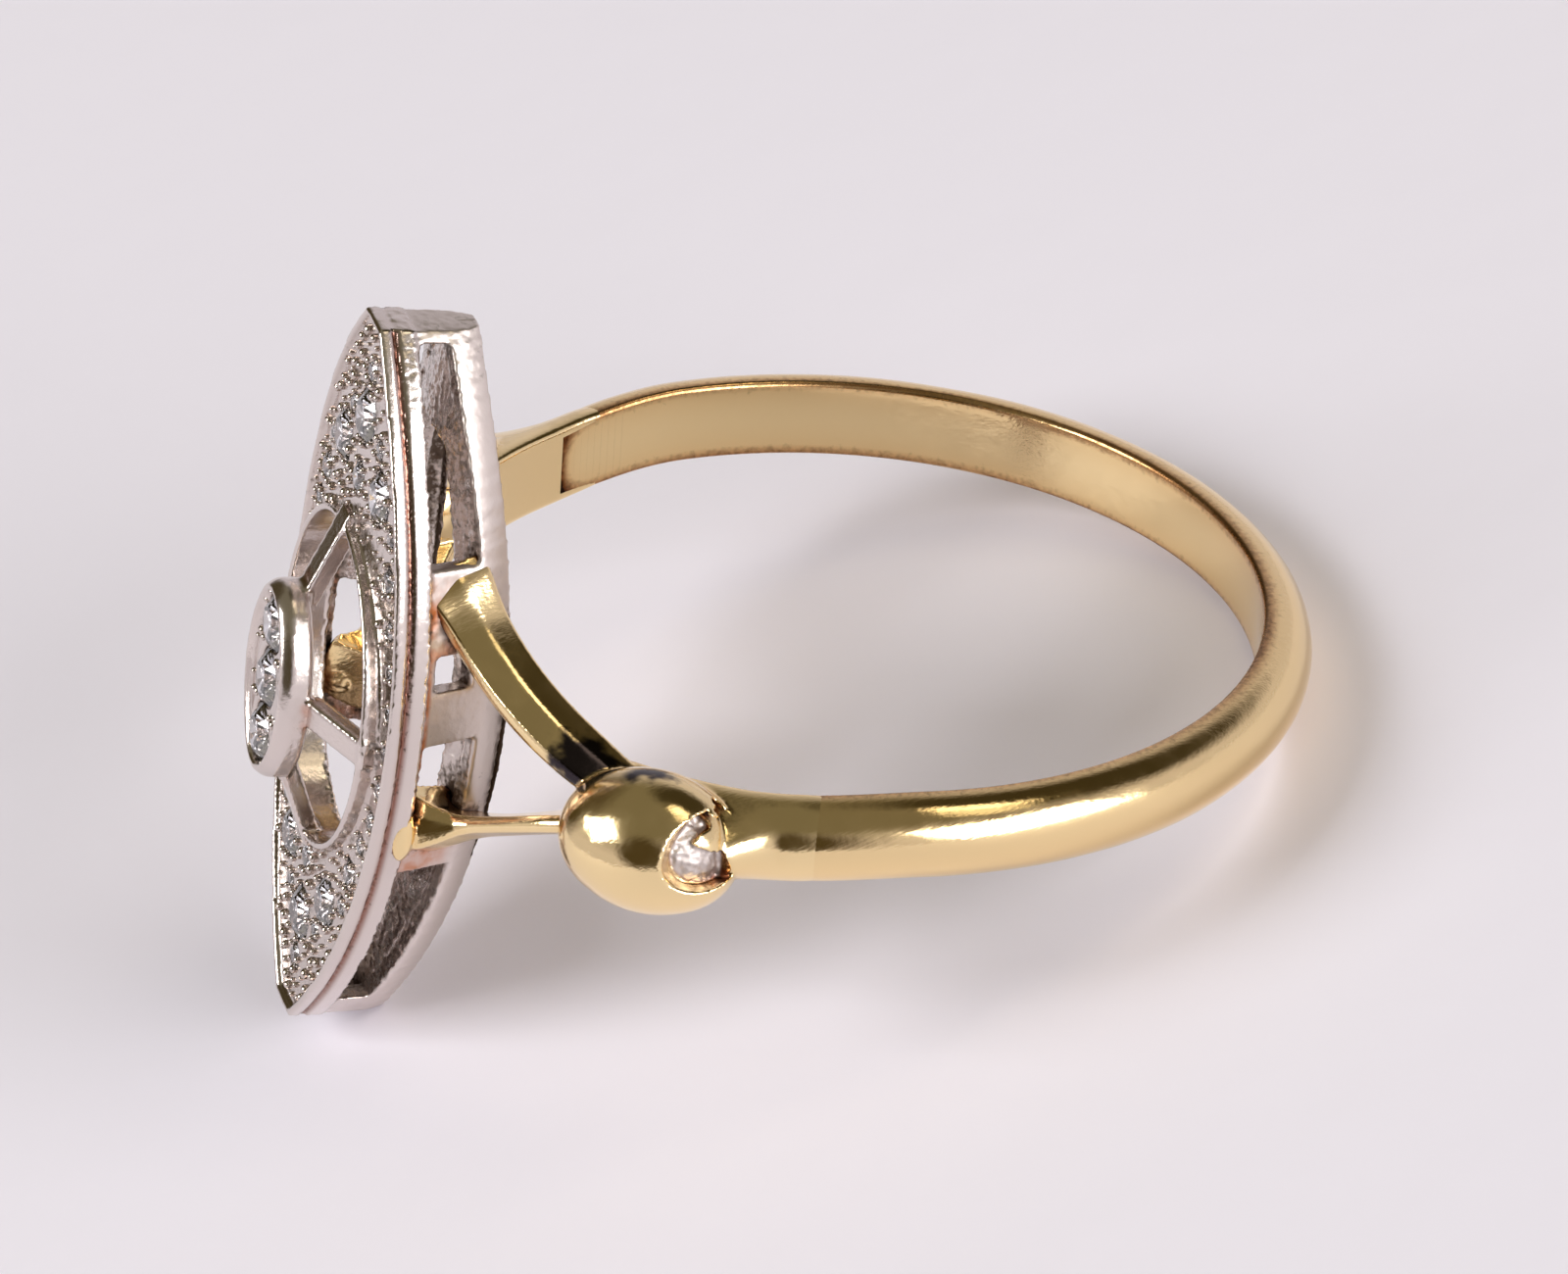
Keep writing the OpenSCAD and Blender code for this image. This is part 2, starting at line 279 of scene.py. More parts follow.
def sunk(side):
    return -shank["sink"] * float(step(shank["sinkFrom"], shank["sinkTo"], -side))


# one section of the band, whose crown rises to the boss as a tongue
def bandRing(angle, grow=0):
    side = angle if angle < 90 else 180 - angle
    c, s = math.cos(math.radians(angle)), math.sin(math.radians(angle))
    rise = shank["rise"] * float(step(shank["riseFrom"], shank["riseTo"], -side))
    inner = shank["holeRadius"]
    ring = []
    for r, z in shankProfile(grow):
        lift = 1 + rise * max(0, 1 - (z / shank["halfWidth"]) ** 2)
        r = inner + (r - inner) * lift
        ring.append((r * c, r * s, z + sunk(side)))
    return ring


def makeShank():
    total = shank["rings"]
    first = -shank["end"]
    rings = []
    for i in range(total):
        angle = first + (180 - 2 * first) * i / (total - 1)
        side = angle if angle < 90 else 180 - angle
        # the ends slip into the piece that carries the boss
        rings.append(bandRing(angle, -shank["slip"] * float(step(shank["slipFrom"], shank["end"], -side))))
    obj = build("shank", [loft(rings)], ringFrame)
    # the hand-made wire is never quite even
    points = pointsOf(obj)
    normals = normalsOf(obj)
    local = carried(points, ringFrame.inverted())
    outer = step(8.75, 9.2, np.hypot(local[:, 0], local[:, 1]))
    inside = step(0, 3, np.degrees(np.arctan2(local[:, 1], np.abs(local[:, 0]))) + shank["end"])
    longHigh, shortHigh = shank["waveHigh"]
    wave = grit(points, shank["waveLong"] * mm, 1) * longHigh
    wave += grit(points, shank["waveShort"] * mm, 1) * shortHigh
    worn = (wave * outer * inside * mm)[:, None]
    setPoints(obj, points + normals * worn - normals * (shank["wear"] * mm * outer)[:, None])
    return obj


# Boss: a domed spindle soldered on the outside of the band, with a round bite that leaves a crescent.
# The bite's rim is drawn as (along the band, height), seen from outside; its round is for the marks.
boss = {
    "angle": 40,
    "middle": (9.8, 0.09, -0.31),
    "half": 1.42,
    "bend": 2.3,
    "long": 1.83,
    "soften": 0.3,
    "biteRadius": 0.73,
    "biteBack": 1.6,
    "biteUp": 0.16,
    "biteFloor": 9.9,
    "biteDeep": 2.2,
    "mouthDrop": 0.6,
    "biteMiddle": (1.4, 0.08),
    "lobeGrow": 1.015,
    "biteMouth": [(2.8, -0.2), (2.8, 0.3)],
    "biteRim": [
        (1.62, 0.53),
        (1.44, 0.66),
        (1.26, 0.76),
        (1.06, 0.7),
        (0.92, 0.45),
        (0.85, 0.08),
        (0.9, -0.22),
        (1.1, -0.48),
        (1.4, -0.61),
        (1.7, -0.62),
        (1.98, -0.45),
    ],
    "pitDepth": 0.36,
    "tongueDepth": 0.2,
    "tongueUpper": [(1.2, 0.29), (1.28, 0.42), (1.42, 0.5), (1.55, 0.52)],
    "tongueLower": [(1.2, 0.29), (1.5, 0.12), (1.73, -0.03), (1.84, -0.3), (1.89, -0.38)],
    "farTurn": 3.5,
    "around": 96,
    "up": 64,
}


# distance from the boss's middle to its skin, or to a skin drawn in by a depth
def bossSkin(d, depth=0):
    across = math.hypot(d[0], d[2])
    centre = boss["bend"] - boss["half"]
    side = -across * centre + math.sqrt(boss["bend"] ** 2 - centre ** 2 * (1 - across ** 2))
    h = max(0, min(1, 0.5 + 0.5 * (side - boss["long"]) / boss["soften"]))
    return side * (1 - h) + boss["long"] * h - boss["soften"] * h * (1 - h) * 0.5 - depth


def bossForm(depth=0):
    return roundForm(boss["middle"], lambda d: bossSkin(d, depth), boss["around"], boss["up"])


# a prism along the boss's outward axis, from the pit's floor up
def prism(outline, floor):
    return loft([[(x, t, w) for t, w in outline] for x in (floor, floor + boss["biteDeep"])])


# a line with its corners rounded off, drawn out a little from the bite's middle
def roundedLine(line, grow=1.0, times=3):
    for i in range(times):
        cut = [line[0]]
        for (t, w), (nextT, nextW) in zip(line, line[1:]):
            cut += [(t * a + nextT * (1 - a), w * a + nextW * (1 - a)) for a in (0.75, 0.25)]
        line = cut + [line[-1]]
    middleT, middleW = boss["biteMiddle"]
    return [(middleT + (t - middleT) * grow, middleW + (w - middleW) * grow) for t, w in line]


# cutters for the bite: its whole round down to the tongue, then the deeper pit on each side of that
def biteCutters():
    floor, rim = boss["biteFloor"], boss["biteRim"]
    mouth = prism(boss["biteMouth"] + roundedLine(rim), floor - boss["mouthDrop"])
    whole = carve(mouth, [bossForm(boss["tongueDepth"])])
    upper = boss["tongueUpper"] + roundedLine(rim[:7], boss["lobeGrow"])
    lower = boss["tongueLower"] + roundedLine(rim[:3:-1], boss["lobeGrow"])
    lobes = [carve(prism(lobe, floor), [bossForm(boss["pitDepth"])]) for lobe in (upper, lower[::-1])]
    return whole, lobes


bandEnd = {"first": -15, "last": -48, "rings": 61, "proud": 0.016, "slip": 0.08, "slipFrom": 14, "slipTo": 23}


# the band under the boss, which forks into the arms; its thin end slips into the shank
def makeBandEnd(lobes):
    rings = []
    for i in range(bandEnd["rings"]):
        angle = bandEnd["first"] + (bandEnd["last"] - bandEnd["first"]) * i / (bandEnd["rings"] - 1)
        slip = 1 - float(step(bandEnd["slipFrom"], bandEnd["slipTo"], -angle))
        rings.append(bandRing(angle, bandEnd["proud"] - bandEnd["slip"] * slip))
    return carve(loft(rings), lobes)


# Arms: straps with a ridged face. Each path row has angle, distance from the finger's axis,
# height, width across the strap and its thickness.
arm = {
    "lean": 16,
    "ridge": 0.13,
    "rings": 90,
    "softenings": 12,
    "upper": [
        (-40, 9.2, 0.02, 0.9, 0.4),
        (-45, 9.27, 0.36, 1.1, 0.5),
        (-49.7, 9.3, 0.7, 1.22, 0.56),
        (-54.1, 9.3, 1.0, 1.25, 0.56),
        (-58, 9.3, 1.3, 1.25, 0.56),
        (-62, 9.3, 1.64, 1.25, 0.56),
        (-65.4, 9.3, 1.98, 1.25, 0.56),
        (-68.2, 9.33, 2.32, 1.27, 0.57),
        (-70.4, 9.38, 2.66, 1.36, 0.6),
        (-72.3, 9.45, 2.98, 1.52, 0.66),
        (-74.5, 9.5, 3.2, 1.66, 0.72),
    ],
    "lower": [
        (-40, 9.2, -0.3, 0.9, 0.4),
        (-45, 9.25, -0.45, 1.1, 0.42),
        (-49.7, 9.3, -0.72, 1.2, 0.44),
        (-54.1, 9.3, -1.0, 1.25, 0.44),
        (-58, 9.3, -1.3, 1.25, 0.42),
        (-62, 9.3, -1.62, 1.25, 0.42),
        (-65.4, 9.34, -1.88, 1.3, 0.44),
        (-68, 9.5, -2.06, 1.4, 0.56),
        (-70, 9.72, -2.15, 1.55, 0.85),
        (-71.6, 9.86, -2.18, 1.7, 1.2),
        (-73.5, 9.9, -2.2, 1.75, 1.4),
    ],
}


# a strap's section, two flat faces that meet in a rounded ridge over a flat back
def strapSection(width, thick):
    half = width / 2
    top = thick / 2
    ring = []
    for i in range(25):
        u = 2 * i / 24 - 1
        roof = top - arm["ridge"] * (math.sqrt(u * u + 0.012) - 0.11)
        ring.append((half * u, roof - 0.5 * thick * max(0, (abs(u) - 0.86) / 0.14) ** 3 * 0.6))
    for i in range(17):
        u = 1 - 2 * i / 16
        ring.append((half * u * 0.985, -top + 0.3 * thick * max(0, (abs(u) - 0.84) / 0.16) ** 3))
    return ring


def makeArm(rows, flip):
    keys = np.array(rows, float)
    where = np.linspace(0, len(rows) - 1, arm["rings"])
    index = np.arange(len(rows))
    smooth = np.stack([np.interp(where, index, keys[:, k]) for k in range(keys.shape[1])], 1)
    for i in range(arm["softenings"]):
        smooth[1:-1] = smooth[1:-1] * 0.5 + (smooth[:-2] + smooth[2:]) * 0.25
    path = [
        Vector((r * math.cos(math.radians(a)), r * math.sin(math.radians(a)), z)) for a, r, z in smooth[:, :3]
    ]
    rings = []
    for i, row in enumerate(smooth):
        along = (path[min(i + 1, len(path) - 1)] - path[max(i - 1, 0)]).normalized()
        out = Vector((path[i].x, path[i].y, 0)).normalized()
        lean = math.radians(arm["lean"])
        across = out * math.cos(lean) - Vector((0, 0, flip)) * math.sin(lean)
        across = (across - along * across.dot(along)).normalized()
        face = across.cross(along).normalized()
        if face.z * flip < 0:
            face = -face
        rings.append([path[i] + across * u + face * v for u, v in strapSection(row[3], row[4])])
    shell = loft(rings)
    if flip < 0:
        shell = (shell[0], [tuple(reversed(f)) for f in shell[1]])
    return shell


# Solder: small heaps in the panel's frame, where each lower arm meets the wall and the plate.
# Each has its middle and its half sizes.
solderHeaps = [
    ((3.42, -1.9, 10.0), (0.36, 0.62, 0.3)),
    ((3.72, -1.75, 10.02), (0.15, 0.6, 0.24)),
    ((3.2, -1.95, 9.4), (0.34, 0.4, 0.62)),
]
# dark skin in the fork: angle, distance from the finger's axis and height
sootSpots = [(-50, 9.6, 0.8), (-47, 9.6, 0.9), (-44, 9.4, 1.0), (-41, 9.3, 1.1)]
# copper stains on the panel, in its own frame
blushSpots = [(3.3, 3.1, 9.86), (3.35, 2.5, 9.8), (3.42, -1.75, 10.0), (3.2, -1.95, 9.3), (3.2, -2.6, 9.5)]

shoulders = {
    "voxel": 0.046,
    "polish": 9,
    "pitGrit": 0.11,
    "pitRough": 0.03,
    "sootReach": (0.75, 0.4),
    "sootGrit": 0.3,
}


def makeShoulders():
    onBoss = turn(-boss["angle"], "Z")
    whole, lobes = biteCutters()
    half = [
        placed(carve(bossForm(), lobes + [whole]), onBoss),
        makeBandEnd([placed(lobe, onBoss) for lobe in lobes]),
        makeArm(arm["upper"], 1),
        makeArm(arm["lower"], -1),
    ]
    half += [placed(ball(middle, size), panelInRing) for middle, size in solderHeaps]
    # the boss on the far side was soldered on a little nearer the panel
    farBoss = placed(half[0], mirrorX @ turn(-boss["farTurn"], "Z"))
    obj = build("shoulders", half + [farBoss] + [placed(shell, mirrorX) for shell in half[1:]], ringFrame)
    remesh(obj, shoulders["voxel"], ringFrame)
    polish(obj, shoulders["polish"])
    points = pointsOf(obj)
    local = carried(points, ringFrame.inverted())
    # the pit's floor is left rough, as cast
    side = np.stack([np.abs(local[:, 0]), local[:, 1], local[:, 2]], 1)
    inBoss = carried(side, onBoss.inverted())
    fromBite = np.hypot(np.minimum(0, inBoss[:, 1] - boss["biteBack"]), inBoss[:, 2] - boss["biteUp"])
    middle = np.array(boss["middle"])
    fromMiddle = np.linalg.norm(inBoss - middle, axis=1)
    under = np.array([bossSkin(d) for d in (inBoss - middle) / fromMiddle[:, None]]) - fromMiddle
    reach = boss["biteRadius"]
    inBite = step(reach + 0.04, reach - 0.03, fromBite) * step(9.7, 9.85, inBoss[:, 0])
    pit = inBite * step(boss["tongueDepth"] + 0.05, boss["pitDepth"] - 0.05, under)
    # the lower wall of the bite is stained red
    lowWall = step(0.15, -0.1, inBoss[:, 2]) * step(reach - 0.2, reach - 0.1, fromBite)
    fringe = inBite * step(0.03, 0.12, under) * lowWall
    rough = grit(points, shoulders["pitGrit"] * mm, 3) * shoulders["pitRough"]
    normals = normalsOf(obj)
    points = points + normals * (rough * pit * mm)[:, None]
    # nothing stands into the finger hole
    local = carried(points, ringFrame.inverted())
    r = np.hypot(local[:, 0], local[:, 1])
    short = r < shank["holeRadius"]
    local[short, :2] *= (shank["holeRadius"] / r[short])[:, None]
    setPoints(obj, carried(local, ringFrame))
    mark(obj, "pit", pit)
    # soldering left a blue-black skin in the fork above the boss
    sootAndShade = np.zeros(len(side))
    for angle, out, high in sootSpots:
        a = math.radians(angle)
        far = np.linalg.norm(side - np.array((out * math.cos(a), out * math.sin(a), high)), axis=1)
        ragged = far + 0.3 * grit(points, shoulders["sootGrit"] * mm, 3)
        sootAndShade = np.maximum(sootAndShade, step(*shoulders["sootReach"], ragged))
    # the dark skin keeps off the boss but for its topmost rim, which is painted dark as shade so that its
    # outline reads lower
    offBoss = np.maximum(step(0.02, 0.07, np.abs(under)), step(0.98, 1.06, inBoss[:, 2]))
    mark(obj, "sootAndShade", sootAndShade * offBoss)
    mark(obj, "fringe", fringe)
    return obj


# Panel: the CAD solid, remeshed, then worn. Sizes are in its own frame.
panelLook = {
    "voxel": 0.056,
    "polish": 7,
    "cupPolish": 45,
    "grimeDepth": 0.03,
    "halfLong": 7.9,
    "halfWide": 3.95,
    "arc": 10.8,
    "groove": 10.595,
    "grooveDepth": 0.08,
    "grooveWide": 0.05,
    "dirtWide": 0.07,
    "wallBand": 0.17,
    "wallSlack": 0.14,
    "bend": 31,
    "railBend": (2.61, 6.85),
    "railRound": 0.5,
    "railDeep": 0.8,
    "railFrom": (0.25, 0.1),
    "railLean": 0.32,
    "railTop": 10.2,
    "cupFrom": (11.3, 11.6),
    "cupAlong": (2.6, 2.3),
}


def makePanel():
    source = nodes["panel"]
    obj = bpy.data.objects.new("panelMetal", source.data.copy())
    bpy.context.scene.collection.objects.link(obj)
    obj.data.materials.clear()
    remesh(obj, panelLook["voxel"], panelFrame)
    polish(obj, panelLook["polish"])
    # the cup is worn rounder than the rest
    before = pointsOf(obj)
    polish(obj, panelLook["cupPolish"])
    local = carried(before, panelFrame.inverted())
    inCup = step(*panelLook["cupFrom"], local[:, 2]) * step(*panelLook["cupAlong"], np.abs(local[:, 1]))
    share = inCup[:, None]
    local = carried(before * (1 - share) + pointsOf(obj) * share, panelFrame.inverted())
    # the side wall is trued up and its line cut afresh, as the voxels are coarser than the line
    x, y, z = local[:, 0], local[:, 1], local[:, 2]
    centre = panelLook["arc"] - panelLook["halfWide"]
    reach = np.hypot(np.abs(x) + centre, y)
    toTip = panelLook["halfLong"] - np.hypot(x, y)
    fromLine = z - panelLook["groove"] + panelLook["bend"] - np.sqrt(panelLook["bend"] ** 2 - x ** 2)
    depth = panelLook["grooveDepth"] * np.exp(-((fromLine / panelLook["grooveWide"]) ** 2))
    inWall = panelLook["arc"] - reach
    onWall = (np.abs(fromLine) < panelLook["wallBand"]) & (inWall < panelLook["wallSlack"]) & (inWall < toTip)
    scale = np.where(onWall, (panelLook["arc"] - depth) / reach, 1)
    local[:, 0] = np.where(onWall, np.sign(x) * ((np.abs(x) + centre) * scale - centre), x)
    local[:, 1] = y * scale
    # the back rail is rounded over towards the finger
    x, y = local[:, 0], local[:, 1]
    middle, radius = panelLook["railBend"]
    back = np.clip(middle + np.sqrt(np.maximum(radius ** 2 - x ** 2, 0)) - z, 0, panelLook["railDeep"])
    fromWall = panelLook["arc"] - np.hypot(np.abs(x) + centre, y)
    onRail = step(*panelLook["railFrom"], fromWall - panelLook["railLean"] * (panelLook["railTop"] - z))
    inset = panelLook["railRound"] * back ** 2 * onRail
    local[:, 0] = np.sign(x) * np.maximum(np.abs(x) - inset, 0)
    setPoints(obj, carried(local, panelFrame))
    # the groove's line is coloured reddish brown, dirt with painted shade in the recess
    mark(obj, "line", np.where(onWall, np.exp(-((fromLine / panelLook["dirtWide"]) ** 2)), 0))
    return obj


shankPiece = makeShank()
print("shank made:", len(shankPiece.data.polygons), "faces")
shouldersPiece = makeShoulders()
print("shoulders made:", len(shouldersPiece.data.polygons), "faces")
panelPiece = makePanel()
print("panel made:", len(panelPiece.data.polygons), "faces")


# Beads: the little grains of metal that were raised round each stone and pressed over its edge.
beads = {
    "bed": 10.76,
    "bend": 31,
    "grain": 0.085,
    "spacing": 0.25,
    "tries": 5000,
    "endReach": 7.55,
    "tipReach": 8.35,
    "halfWide": 3.95,
    "acrossReach": 3.8,
    "borderWide": 0.17,
    "collar": (3.23, 3.58, 3.3),
    "standOff": 0.04,
    "smallStone": 0.25,
    "middleStone": 0.4,
    "smallShare": 0.8,
    "stoneGap": 0.07,
    "leastGap": 0.12,
    "lift": 0.02,
    "cupFront": 12.1,
    "cupRows": (0.56, 0.78),
    "cupBetween": 0.625,
    "cupTips": ((0.42, 1.74), (-0.42, 1.74), (0.7, 1.42), (-0.7, 1.42)),
    "cupRound": (1.0, 1.62),
    "cupSides": 0.75,
    "drop": 0.18,
}
endStones = [
    (0, 5.72, 0.58), (1.42, 4.62, 0.54), (2.52, 3.32, 0.3), (0, 6.72, 0.26),
    (0, 4.36, 0.34), (1.04, 5.5, 0.2), (2.32, 4.18, 0.2),
]
seats = []
for across, along, radius in endStones:
    for flipX in ((1, -1) if across else (1,)):
        for flipY in (1, -1):
            seats.append((flipX * across, flipY * along, radius))
for i in range(7):
    a = math.radians((i - 3) * 11.5)
    for flipX in (1, -1):
        seats.append((flipX * 3.5 * math.cos(a), 4.3 * math.sin(a), 0.19))


def bedHeight(x):
    return beads["bed"] - beads["bend"] + math.sqrt(beads["bend"] ** 2 - x * x)


# how far a spot lies inside the panel's border
def insideBorder(x, y):
    arc = (beads["tipReach"] ** 2 + beads["halfWide"] ** 2) / (2 * beads["halfWide"])
    side = arc - math.hypot(abs(x) + arc - beads["halfWide"], y)
    return min(side, panelLook["halfLong"] - math.hypot(x, y)) - beads["borderWide"]


# how far a spot lies outside the opening's collar
def outsideOpening(x, y):
    across, along, mean = beads["collar"]
    return math.hypot(x / across, (y + beads["drop"]) / along) * mean - mean


def grain(spot, size, flat=0.8):
    wide = size * dice.uniform(0.85, 1.1)
    return ball(spot, (wide, wide * dice.uniform(0.85, 1.15), size * flat), 12, 8)


def makeBeads():
    spots = []
    # first the four or more beads that hold each stone, then the rest of the bed
    for x, y, radius in seats:
        count = 4 if radius < beads["smallStone"] else 5 if radius < beads["middleStone"] else 7
        first = dice.uniform(0, 6.28)
        for k in range(count):
            a = first + 6.2832 * k / count
            size = beads["grain"] * (beads["smallShare"] if radius < beads["smallStone"] else 1)
            away = radius + beads["standOff"]
            spots.append((x + away * math.cos(a), y + away * math.sin(a), size * dice.uniform(0.75, 1.25)))
    kept = []
    for spot in spots:
        clear = all(math.hypot(spot[0] - s[0], spot[1] - s[1]) > s[2] + 0.02 for s in seats)
        apart = all(math.hypot(spot[0] - k[0], spot[1] - k[1]) > beads["leastGap"] for k in kept)
        if clear and apart and insideBorder(*spot[:2]) > 0 and outsideOpening(*spot[:2]) > 0.03:
            kept.append(spot)
    for i in range(beads["tries"]):
        x = dice.uniform(-beads["acrossReach"], beads["acrossReach"])
        y = dice.uniform(-beads["endReach"], beads["endReach"])
        if insideBorder(x, y) < 0.02 or outsideOpening(x, y) < 0.05:
            continue
        if any(math.hypot(x - s[0], y - s[1]) < s[2] + beads["stoneGap"] for s in seats):
            continue
        if any(math.hypot(x - k[0], y - k[1]) < beads["spacing"] for k in kept):
            continue
        kept.append((x, y, beads["grain"] * dice.uniform(0.5, 1.4)))
    shells = [grain((x, y, bedHeight(x) + beads["lift"]), size, 1.0) for x, y, size in kept]
    # the cup's beads lie in its corners and between its three stones
    for row in (1, -1):
        for x in beads["cupRows"]:
            for flipX in (1, -1):
                y = row * (beads["cupBetween"] + (x - beads["cupRows"][0]) * 0.2) - beads["drop"]
                shells.append(grain((flipX * x, y, beads["cupFront"]), 0.1, 0.9))
        for x, y in beads["cupTips"]:
            shells.append(grain((x, row * y - beads["drop"], beads["cupFront"]), 0.085, 0.9))
    for k in range(12):
        a = 0.52 * k + 0.26
        x = beads["cupRound"][0] * math.cos(a)
        y = beads["cupRound"][1] * math.sin(a) - beads["drop"]
        if abs(x) > beads["cupSides"]:
            shells.append(grain((x, y, beads["cupFront"]), 0.075, 0.9))
    return build("settingBeads", shells, panelFrame), len(shells)


beadPiece, beadCount = makeBeads()
print("beads made:", beadCount)

# Solder spots: the copper-red drops left where the struts meet the cup and the opening.
solderSpots = [
    ((1.36, -0.42, 11.52), (0.1, 0.1, 0.09)),
    ((1.52, -0.3, 11.38), (0.17, 0.2, 0.13)),
    ((1.42, -0.1, 11.55), (0.09, 0.2, 0.08)),
    ((-1.46, -0.1, 11.45), (0.14, 0.24, 0.1)),
    ((0.05, -2.42, 11.42), (0.24, 0.12, 0.13)),
    ((0.0, 2.06, 11.42), (0.24, 0.12, 0.12)),
]


def makeSolder():
    return build("strutSolder", [ball(middle, size, 24, 16) for middle, size in solderSpots], panelFrame)


solderPiece = makeSolder()
print("solder made:", len(solderSpots), "drops")


# the turn between one ray and the next that spreads them evenly, in radians
goldenTurn = 2.39996


# how shut in each point is, from 0 in the open to 1 deep in a corner
def crevices(obj, others, reach, rays):
    verts = []
    faces = []
    for o in [obj] + others:
        base = len(verts)
        verts += [v.co.copy() for v in o.data.vertices]
        faces += [tuple(base + i for i in p.vertices) for p in o.data.polygons]
    tree = BVHTree.FromPolygons(verts, faces)
    directions = []
    for i in range(rays):
        z = (i + 0.5) / rays
        a = i * goldenTurn
        flat = math.sqrt(1 - z * z)
        directions.append((flat * math.cos(a), flat * math.sin(a), z))
    spots = pointsOf(obj)
    normals = normalsOf(obj)
    result = np.zeros(len(spots))
    far = reach * mm
    for k in range(len(spots)):
        n = Vector(normals[k])
        side = n.orthogonal().normalized()
        other = n.cross(side)
        start = Vector(spots[k]) + n * (0.02 * mm)
        shut = 0.0
        for dx, dy, dz in directions:
            hit = tree.ray_cast(start, side * dx + other * dy + n * dz, far)
            if hit[0] is not None:
                shut += 1 - hit[3] / far
        result[k] = shut / rays
    return result


# Materials
def linear(code):
    parts = [int(code[i : i + 2], 16) / 255 for i in (0, 2, 4)]
    return tuple(c / 12.92 if c <= 0.04045 else ((c + 0.055) / 1.055) ** 2.4 for c in parts) + (1,)


# adds a shader node, with its settings by name or socket, and its incoming links
def add(tree, kind, settings=None, links=None):
    node = tree.nodes.new(kind)
    for key, value in (settings or {}).items():
        if isinstance(key, str) and hasattr(node, key):
            setattr(node, key, value)
        else:
            node.inputs[key].default_value = value
    for key, source in (links or {}).items():
        tree.links.new(source, node.inputs[key])
    return node


# lays a colour over what a socket brings, by a factor
def overlay(tree, code, factor, under):
    return add(
        tree, "ShaderNodeMix", {"data_type": "RGBA", 7: linear(code)}, {"Factor": factor, 6: under}
    )


# goes from one colour to another with a factor
def blend(tree, first, second, factor):
    return add(
        tree, "ShaderNodeMix", {"data_type": "RGBA", 6: linear(first), 7: linear(second)}, {"Factor": factor}
    )


# noise with grains of a size in millimetres
def mottle(tree, place, size, detail):
    return add(tree, "ShaderNodeTexNoise", {"Scale": 1000 / size, "Detail": detail}, {"Vector": place})


def marked(tree, name):
    return add(tree, "ShaderNodeAttribute", {"attribute_name": name}).outputs["Fac"]


def newMaterial(name):
    material = bpy.data.materials.new(name)
    material.use_nodes = True
    material.node_tree.nodes.clear()
    return material, material.node_tree


goldLook = {
    "openTone": "F7DDA9",
    # the second tone is painted shade, laid on by how shut in the metal is
    "shadedTone": "DDAB64",
    "copper": "B8703C",
    # tarnish with painted shade, in the deepest corners
    "tarnishAndShade": "23140D",
    "bare": "C2B8B4",
    # dark skin in the fork, and painted shade on the boss's topmost rim
    "sootAndShade": "3A3438",
    "red": "9A5C3E",
    "roughness": 0.1,
    "rustAndShadeGain": 4.0,
    "rustAndShadeStart": -0.9,
    "dirtAndShadeGain": 3.2,
    "dirtAndShadeStart": -1.35,
    "speckGain": 1.1,
    "dirtRoughness": 0.5,
    "cloudSize": 0.7,
    "speckSize": 0.12,
    "dentSize": 0.3,
    "scratchSize": 0.05,
}


